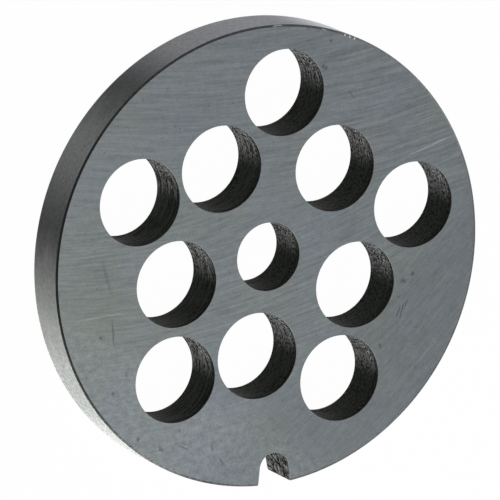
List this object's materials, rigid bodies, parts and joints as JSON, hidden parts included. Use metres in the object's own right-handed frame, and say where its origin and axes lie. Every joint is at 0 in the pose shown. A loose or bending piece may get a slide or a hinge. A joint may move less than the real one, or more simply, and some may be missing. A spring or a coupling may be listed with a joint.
{
  "type": "meat grinder plate",
  "caption": "Flat round steel plate with rings of large meat holes, a centre bore and an anti-turn notch in the rim.",
  "frame": {"origin": "centre of the bore on the back face, which the plate lies on", "axes": "+Z along the bore, out of the ground front face; -Y to the rim just beside the notch"},
  "size_m": [0.0694, 0.0694, 0.0074],
  "materials": {
    "steel": "ground faces with fine scratches, turned rim, dark drilled bores"
  },
  "bodies": {
    "root": {"grinder_plate": "steel"}
  },
  "joints": []
}
